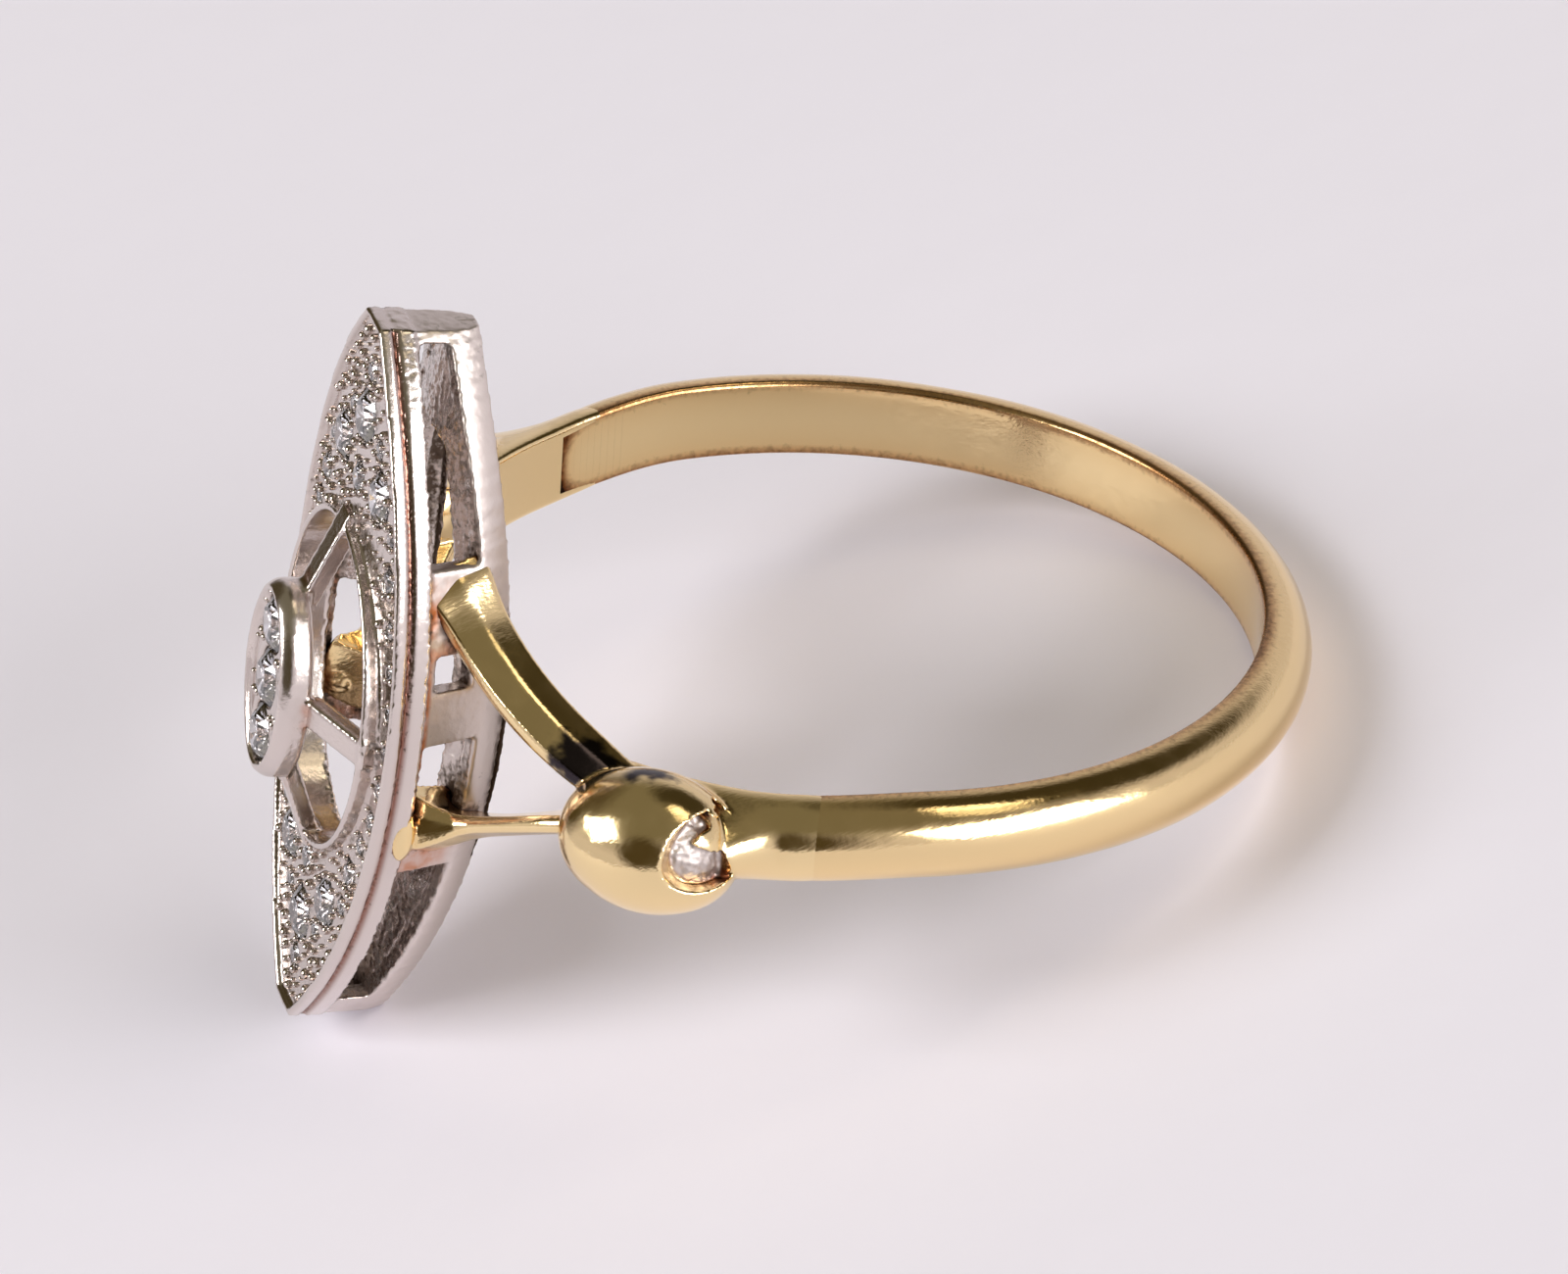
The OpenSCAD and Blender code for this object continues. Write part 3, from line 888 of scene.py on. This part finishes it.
def polishedGold(name):
    # 18 ct yellow gold, buffed and then worn: a warm mirror with hairlines, and brown tarnish with painted
    #                                          shade in its corners
    material, tree = newMaterial(name)
    place = add(tree, "ShaderNodeTexCoord").outputs["Object"]
    shut = marked(tree, "shut")
    pit = marked(tree, "pit")
    cloud = mottle(tree, place, goldLook["cloudSize"], 4)
    speck = mottle(tree, place, goldLook["speckSize"], 3)
    # painted shade: the gold takes the deeper tone the more shut in it is
    tint = blend(tree, goldLook["openTone"], goldLook["shadedTone"], shut)
    # copper tarnish with painted shade, where the gold is shut in
    rustAndShade = add(
        tree,
        "ShaderNodeMath",
        {
            "operation": "MULTIPLY_ADD",
            1: goldLook["rustAndShadeGain"],
            2: goldLook["rustAndShadeStart"],
            "use_clamp": True,
        },
        {0: shut},
    )
    warm = overlay(tree, goldLook["copper"], rustAndShade.outputs[0], tint.outputs[2])
    # brown tarnish with painted shade in the deepest corners, broken up by specks
    dirtAndShade = add(
        tree,
        "ShaderNodeMath",
        {"operation": "MULTIPLY_ADD", 1: goldLook["dirtAndShadeGain"], 2: goldLook["dirtAndShadeStart"]},
        {0: shut},
    )
    dirtAndShadeShare = add(
        tree,
        "ShaderNodeMath",
        {"operation": "MULTIPLY_ADD", 1: goldLook["speckGain"], "use_clamp": True},
        {0: speck.outputs["Fac"], 2: dirtAndShade.outputs[0]},
    )
    soiledAndShaded = overlay(tree, goldLook["tarnishAndShade"], dirtAndShadeShare.outputs[0], warm.outputs[2])
    fringe = marked(tree, "fringe")
    red = overlay(tree, goldLook["red"], fringe, soiledAndShaded.outputs[2])
    bare = overlay(tree, goldLook["bare"], pit, red.outputs[2])
    # dark skin in the fork, and painted shade on the boss's topmost rim
    sootAndShade = marked(tree, "sootAndShade")
    burntAndShaded = overlay(tree, goldLook["sootAndShade"], sootAndShade, bare.outputs[2])
    dull = add(tree, "ShaderNodeMath", {"operation": "MAXIMUM"}, {0: dirtAndShadeShare.outputs[0], 1: pit})
    worn = add(
        tree,
        "ShaderNodeMapRange",
        {
            "From Min": 0.35,
            "From Max": 0.75,
            "To Min": goldLook["roughness"] * 0.8,
            "To Max": goldLook["roughness"] * 2,
        },
        {"Value": cloud.outputs["Fac"]},
    )
    rough = add(
        tree,
        "ShaderNodeMix",
        {"data_type": "FLOAT", 3: goldLook["dirtRoughness"]},
        {0: dull.outputs[0], 2: worn.outputs[0]},
    )
    # hairlines run with the stretch of the noise, about a twentieth of a millimetre apart
    stretch = add(
        tree, "ShaderNodeMapping", {"Rotation": (0.5, 0.9, 0.4), "Scale": (1, 0.06, 1)}, {"Vector": place}
    )
    hair = mottle(tree, stretch.outputs[0], goldLook["scratchSize"], 2)
    dent = mottle(tree, place, goldLook["dentSize"], 3)
    lines = add(
        tree, "ShaderNodeBump", {"Strength": 0.12, "Distance": 0.00002}, {"Height": hair.outputs["Fac"]}
    )
    bump = add(
        tree,
        "ShaderNodeBump",
        {"Strength": 0.1, "Distance": 0.00005},
        {"Height": dent.outputs["Fac"], "Normal": lines.outputs[0]},
    )
    shader = add(
        tree,
        "ShaderNodeBsdfPrincipled",
        {"Metallic": 1.0},
        {"Base Color": burntAndShaded.outputs[2], "Roughness": rough.outputs[0], "Normal": bump.outputs[0]},
    )
    add(tree, "ShaderNodeOutputMaterial", None, {"Surface": shader.outputs[0]})
    return material


whiteLook = {
    "openTone": "DED3CD",
    # the second tone is painted shade, laid on by how shut in the metal is
    "shadedTone": "A08B80",
    "copper": "C47A4C",
    # the groove's colour: dirt with painted shade in the recess
    "lineDirtAndShade": "8A5A4A",
    # grime with painted shade, in corners, inside the gallery and under the plate
    "grimeAndShade": "46362A",
    "roughness": 0.19,
    "dirtRoughness": 0.55,
    "innerGain": 0.34,
    "rawGain": 0.14,
    "dirtAndShadeGain": 2.2,
    "dirtAndShadeStart": -3.35,
    "patchGain": 0.9,
    "grimeAndShadeGain": 2.6,
    "dirtAndShadeMetal": 0.3,
    "grainSize": 0.11,
    "patchSize": 0.6,
}


def wornWhiteMetal(name):
    # platinum-topped white gold, cast and pierced: soft worn shine, brown-black grime with painted shade in
    # every corner
    material, tree = newMaterial(name)
    place = add(tree, "ShaderNodeTexCoord").outputs["Object"]
    shut = marked(tree, "shut")
    warm = marked(tree, "warm")
    raw = marked(tree, "raw")
    inner = marked(tree, "inner")
    cloud = mottle(tree, place, whiteLook["grainSize"], 4)
    patch = mottle(tree, place, whiteLook["patchSize"], 3)
    # painted shade: the metal takes the darker tone the more shut in it is
    tint = blend(tree, whiteLook["openTone"], whiteLook["shadedTone"], shut)
    patchy = add(
        tree, "ShaderNodeMapRange", {"From Min": 0.3, "From Max": 0.6}, {"Value": patch.outputs["Fac"]}
    )
    blush = add(
        tree, "ShaderNodeMath", {"operation": "MULTIPLY", "use_clamp": True}, {0: warm, 1: patchy.outputs[0]}
    )
    rosy = overlay(tree, whiteLook["copper"], blush.outputs[0], tint.outputs[2])
    # the groove's line: dirt with painted shade
    line = marked(tree, "line")
    lined = overlay(tree, whiteLook["lineDirtAndShade"], line, rosy.outputs[2])
    # dirt and painted shade gather where the metal is shut in, inside the gallery or raw, and noise breaks them
    # up
    insideDirtAndShade = add(
        tree, "ShaderNodeMath", {"operation": "MULTIPLY_ADD", 1: whiteLook["innerGain"]}, {0: inner, 2: shut}
    )
    dirtAndShadeBase = add(
        tree,
        "ShaderNodeMath",
        {"operation": "MULTIPLY_ADD", 1: whiteLook["rawGain"]},
        {0: raw, 2: insideDirtAndShade.outputs[0]},
    )
    dirtAndShade = add(
        tree,
        "ShaderNodeMath",
        {"operation": "MULTIPLY_ADD", 1: whiteLook["dirtAndShadeGain"], 2: whiteLook["dirtAndShadeStart"]},
        {0: dirtAndShadeBase.outputs[0]},
    )
    grains = add(
        tree,
        "ShaderNodeMath",
        {"operation": "MULTIPLY_ADD", 1: whiteLook["patchGain"]},
        {0: patch.outputs["Fac"], 2: cloud.outputs["Fac"]},
    )
    dirtAndShadeShare = add(
        tree,
        "ShaderNodeMath",
        {"operation": "MULTIPLY_ADD", 1: whiteLook["grimeAndShadeGain"], "use_clamp": True},
        {0: grains.outputs[0], 2: dirtAndShade.outputs[0]},
    )
    # grime with painted shade laid over the colour
    colour = overlay(tree, whiteLook["grimeAndShade"], dirtAndShadeShare.outputs[0], lined.outputs[2])
    dull = add(tree, "ShaderNodeMath", {"operation": "MAXIMUM"}, {0: dirtAndShadeShare.outputs[0], 1: raw})
    rough = add(
        tree,
        "ShaderNodeMapRange",
        {"To Min": whiteLook["roughness"], "To Max": whiteLook["dirtRoughness"]},
        {"Value": dull.outputs[0]},
    )
    bump = add(
        tree, "ShaderNodeBump", {"Strength": 0.25, "Distance": 0.00002}, {"Height": cloud.outputs["Fac"]}
    )
    bright = add(
        tree,
        "ShaderNodeMapRange",
        {"To Min": 1.0, "To Max": whiteLook["dirtAndShadeMetal"]},
        {"Value": dirtAndShadeShare.outputs[0]},
    )
    shader = add(
        tree,
        "ShaderNodeBsdfPrincipled",
        None,
        {
            "Base Color": colour.outputs[2],
            "Metallic": bright.outputs[0],
            "Roughness": rough.outputs[0],
            "Normal": bump.outputs[0],
        },
    )
    add(tree, "ShaderNodeOutputMaterial", None, {"Surface": shader.outputs[0]})
    return material


def pressedBead(name):
    # white metal beads, burnished by the setter's tool: tiny bright domes in dark grime
    material, tree = newMaterial(name)
    place = add(tree, "ShaderNodeTexCoord").outputs["Object"]
    cloud = mottle(tree, place, 0.15, 2)
    tint = blend(tree, "EDE5DF", "A08C80", cloud.outputs["Fac"])
    shader = add(
        tree, "ShaderNodeBsdfPrincipled", {"Metallic": 1.0, "Roughness": 0.16}, {"Base Color": tint.outputs[2]}
    )
    add(tree, "ShaderNodeOutputMaterial", None, {"Surface": shader.outputs[0]})
    return material


def redSolder(name):
    # gold solder, flowed and left: rosy copper with a soft skin
    material, tree = newMaterial(name)
    place = add(tree, "ShaderNodeTexCoord").outputs["Object"]
    cloud = mottle(tree, place, 0.2, 3)
    tint = blend(tree, "E9A06C", "B4653A", cloud.outputs["Fac"])
    shader = add(
        tree, "ShaderNodeBsdfPrincipled", {"Metallic": 1.0, "Roughness": 0.28}, {"Base Color": tint.outputs[2]}
    )
    add(tree, "ShaderNodeOutputMaterial", None, {"Surface": shader.outputs[0]})
    return material


def cutDiamond(name):
    # diamond, hand cut: clear with a very high index, so its facets flash or go dark
    material, tree = newMaterial(name)
    shader = add(
        tree,
        "ShaderNodeBsdfPrincipled",
        {"Base Color": linear("F4F3F8"), "Roughness": 0.01, "IOR": 2.42, "Transmission Weight": 1.0},
    )
    add(tree, "ShaderNodeOutputMaterial", None, {"Surface": shader.outputs[0]})
    return material


def whitePaper(name):
    # matt coated paper: flat and pale with a faint lilac cast and a fine tooth
    material, tree = newMaterial(name)
    place = add(tree, "ShaderNodeTexCoord").outputs["Object"]
    fibre = mottle(tree, place, 2.0, 5)
    bump = add(tree, "ShaderNodeBump", {"Strength": 0.1, "Distance": 0.0002}, {"Height": fibre.outputs["Fac"]})
    shader = add(
        tree,
        "ShaderNodeBsdfPrincipled",
        {"Base Color": linear("EBE8F3"), "Roughness": 0.75, "Specular IOR Level": 0.3},
        {"Normal": bump.outputs[0]},
    )
    add(tree, "ShaderNodeOutputMaterial", None, {"Surface": shader.outputs[0]})
    return material


gold = polishedGold("polished yellow gold")
white = wornWhiteMetal("worn white metal")
beadMetal = pressedBead("burnished bead metal")
solder = redSolder("red gold solder")
diamond = cutDiamond("old cut diamond")

# the shut measure drives tarnish, dirt and painted shade in the metals' colours
metalPieces = [shankPiece, shouldersPiece, panelPiece]
for piece in metalPieces:
    others = [panelPiece] if piece is not panelPiece else [shouldersPiece]
    mark(piece, "shut", crevices(piece, others, 0.9, 14))
print("crevices found")

# Ageing of the panel, with painted shade among its dirt. Reaches, heights and places along it are in mm of its
# own frame.
ageing = {
    "blushReach": 0.85,
    "heapReach": 0.32,
    "backEdge": 10.12,
    "ranAlong": ((3.7, 3.2), (-3.2, -2.7)),
    "ranAcross": (2.6, 3.0),
    "wallCentre": 6.85,
    "lowFrom": (10.3, 10.1),
    "skinFrom": (10.2, 10.1),
    "ledge": (9.75, 9.6),
    "ends": (5.9, 6.6),
    "tip": (6.4, 7.3),
    "open": (10.9, 10.4),
    "grit": 0.12,
}


# the hidden faces keep their casting skin, and blush with copper near the solder; the inner walls and
# undersides get dirt and painted shade
def agePanel():
    spots = carried(pointsOf(panelPiece), panelFrame.inverted())
    x, y, z = spots[:, 0], spots[:, 1], spots[:, 2]
    shut = np.empty(len(spots), np.float32)
    panelPiece.data.attributes["shut"].data.foreach_get("value", shut)
    flatZ = z + panelLook["bend"] - np.sqrt(panelLook["bend"] ** 2 - x ** 2)
    warm = np.zeros(len(spots))
    heaps = [spot for spot, size in solderSpots]
    for middles, near in ((blushSpots, ageing["blushReach"]), (heaps, ageing["heapReach"])):
        for middle in middles:
            for flip in (1, -1):
                far = np.linalg.norm(spots - np.array((flip * middle[0], middle[1], middle[2])), axis=1)
                warm = np.maximum(warm, step(near, 0.2 * near, far))
    # the solder also ran along the plate's back edge between the arms
    upper, lower = ageing["ranAlong"]
    ran = step(0.12, 0.03, np.abs(flatZ - ageing["backEdge"])) * step(*upper, y) * step(*lower, y)
    warm = np.maximum(warm, ran * step(*ageing["ranAcross"], np.abs(x)))
    mark(panelPiece, "warm", warm * np.where(z > 11, 1, step(10.22, 10.14, flatZ)))
    # inner walls are those that face the panel's long axis; they, the ledge and the faces under the plate get
    # dirt and painted shade
    facing = carried(normalsOf(panelPiece), panelFrame.to_3x3().to_4x4().inverted())
    facing /= np.linalg.norm(facing, axis=1)[:, None]
    outward = np.stack([np.sign(x) * (np.abs(x) + ageing["wallCentre"]), y], 1)
    outward /= np.linalg.norm(outward, axis=1)[:, None]
    inward = -(facing[:, :2] * outward).sum(1)
    low = step(*ageing["lowFrom"], flatZ)
    inner = step(0.2, 0.6, inward) * low * (1 - 0.6 * step(*ageing["ends"], np.abs(y)))
    inner = np.maximum(inner, step(0.3, 0.7, facing[:, 2]) * step(*ageing["ledge"], z))
    under = step(-0.3, -0.7, facing[:, 2]) * step(10.5, 10.3, z) * step(9.6, 9.9, z)
    inner = np.maximum(inner, under)
    # the bed between the beads, and the side wall's upper tip, get dirt and painted shade too
    border = np.array([min(insideBorder(*spot), outsideOpening(*spot)) for spot in spots[:, :2]])
    bed = step(0.0, 0.06, border) * step(0.5, 0.8, facing[:, 2]) * step(10.2, 10.4, z) * step(11.0, 10.9, z)
    tip = step(*ageing["tip"], y) * step(0.3, 0.7, -inward) * step(10.7, 10.5, z)
    inner = np.maximum(np.maximum(inner, 0.6 * bed), 0.5 * tip)
    # the inner mark paints dirt with painted shade into the white metal's colour
    mark(panelPiece, "inner", inner)
    skin = step(*ageing["skinFrom"], flatZ) * step(0.2, 0.5, -inward)
    mark(panelPiece, "raw", np.maximum(skin * 0.5, step(0.1, 0.35, shut) * step(10.2, 9.9, z)))
    rough = grit(pointsOf(panelPiece), ageing["grit"] * mm, 3)
    depth = np.maximum(np.maximum(step(0.12, 0.4, shut), inner), 0.12 * skin) * step(*ageing["open"], z)
    raised = (rough * depth * panelLook["grimeDepth"] * mm)[:, None]
    setPoints(panelPiece, pointsOf(panelPiece) + normalsOf(panelPiece) * raised)


agePanel()
print("panel aged")

for piece, material, slot, node in (
    (shankPiece, gold, "yellow_gold", "gold_mount"),
    (shouldersPiece, gold, "yellow_gold", "gold_mount"),
    (panelPiece, white, "white_metal", "panel"),
    (beadPiece, beadMetal, "white_metal", None),
    (solderPiece, solder, "yellow_gold", None),
):
    piece.data.materials.clear()
    piece.data.materials.append(material)
    piece.data.shade_smooth()
    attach(piece, "root")
    if node:
        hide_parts(node)

for name, node in nodes.items():
    if "stone" in name:
        for slot in node.material_slots:
            slot.material = diamond
        if not node.material_slots:
            node.data.materials.append(diamond)

# Paper
floor = build("paper", [([(-2, -2, 0), (2, -2, 0), (2, 2, 0), (-2, 2, 0)], [(0, 1, 2, 3)])], Matrix.Identity(4))
floor.data.materials.append(whitePaper("white paper"))

def direction(azimuth, elevation):
    a, e = math.radians(azimuth), math.radians(elevation)
    return Vector((math.cos(a) * math.cos(e), math.sin(a) * math.cos(e), math.sin(e)))


# Lights: two soft boxes, one at the left and one right of the camera
lamps = {
    "leftBox": {
        "azimuth": -91,
        "elevation": 41,
        "turned": 45,
        "wide": 0.46,
        "high": 0.46,
        "far": 0.9,
        "power": 6.0,
    },
    "rightBox": {
        "azimuth": 36,
        "elevation": 17,
        "turned": 0,
        "wide": 0.8,
        "high": 0.45,
        "far": 0.9,
        "power": 8.0,
    },
}
lampColour = (1, 0.995, 0.985)
for name, lamp in lamps.items():
    data = bpy.data.lights.new(name, "AREA")
    data.shape = "RECTANGLE"
    data.size = lamp["wide"]
    data.size_y = lamp["high"]
    data.energy = lamp["power"]
    data.color = lampColour
    box = bpy.data.objects.new(name, data)
    spot = direction(lamp["azimuth"], lamp["elevation"])
    box.location = spot * lamp["far"] + Vector((0, 0, 0.005))
    facing = spot.to_track_quat("Z", "Y") @ Quaternion((0, 0, 1), math.radians(lamp["turned"]))
    box.rotation_euler = facing.to_euler()
    box.visible_camera = False
    bpy.context.scene.collection.objects.link(box)

# Room: pale low down, dark overhead, with dark corners left of and behind the camera
world = bpy.data.worlds.new("room")
bpy.context.scene.world = world
world.use_nodes = True
sky = world.node_tree
sky.nodes.clear()
way = add(sky, "ShaderNodeTexCoord").outputs["Generated"]
height = add(sky, "ShaderNodeSeparateXYZ", None, {0: way}).outputs["Z"]
ramp = add(sky, "ShaderNodeValToRGB", None, {"Fac": height})
ramp.color_ramp.elements[0].position = 0.25
ramp.color_ramp.elements[0].color = linear("D2CCD0")
ramp.color_ramp.elements[1].position = 0.72
ramp.color_ramp.elements[1].color = linear("78725F")
room = ramp.outputs["Color"]
# each patch: azimuth, elevation, cosines at its full and its outer edge, colour and gain
patches = (
    (-35, 22, 0.95, 0.85, "4A4029", 1),
    (-155, 25, 0.93, 0.75, "4A4029", 1),
    (108, 38, 0.95, 0.85, "3E3724", 1),
    (84, 52, 0.997, 0.986, "FFF0CF", 2.4),
    (66, 48, 0.997, 0.986, "FFF0CF", 1.2),
)
for azimuth, elevation, narrow, wide, shade, gain in patches:
    corner = direction(azimuth, elevation)
    toward = add(sky, "ShaderNodeVectorMath", {"operation": "DOT_PRODUCT", 1: corner}, {0: way})
    share = add(
        sky, "ShaderNodeMapRange", {"From Min": wide, "From Max": narrow}, {"Value": toward.outputs["Value"]}
    )
    room = add(
        sky,
        "ShaderNodeMix",
        {"data_type": "RGBA", 7: tuple(gain * c for c in linear(shade))},
        {"Factor": share.outputs[0], 6: room},
    ).outputs[2]
backdrop = add(sky, "ShaderNodeBackground", {"Strength": 1.03}, {"Color": room})
add(sky, "ShaderNodeOutputWorld", None, {"Surface": backdrop.outputs[0]})

# Camera, at the photograph's angle
view = {
    "place": (0.124051, -0.010848, 0.087436),
    "right": (0.2859, 0.91151, -0.29566),
    "up": (-0.48281, 0.40353, 0.77721),
    "back": (0.82774, -0.07946, 0.55545),
    "lens": 167.616,
}
cameraData = bpy.data.cameras.new("camera")
cameraData.lens = view["lens"]
cameraData.sensor_width = 36
cameraData.sensor_fit = "HORIZONTAL"
cameraData.clip_start = 0.01
camera = bpy.data.objects.new("camera", cameraData)
rows = [tuple(view[side][k] for side in ("right", "up", "back", "place")) for k in range(3)]
camera.matrix_world = Matrix(rows + [(0, 0, 0, 1)])
bpy.context.scene.collection.objects.link(camera)
bpy.context.scene.camera = camera
bpy.context.scene.view_settings.view_transform = "Standard"
print("camera and lights set")
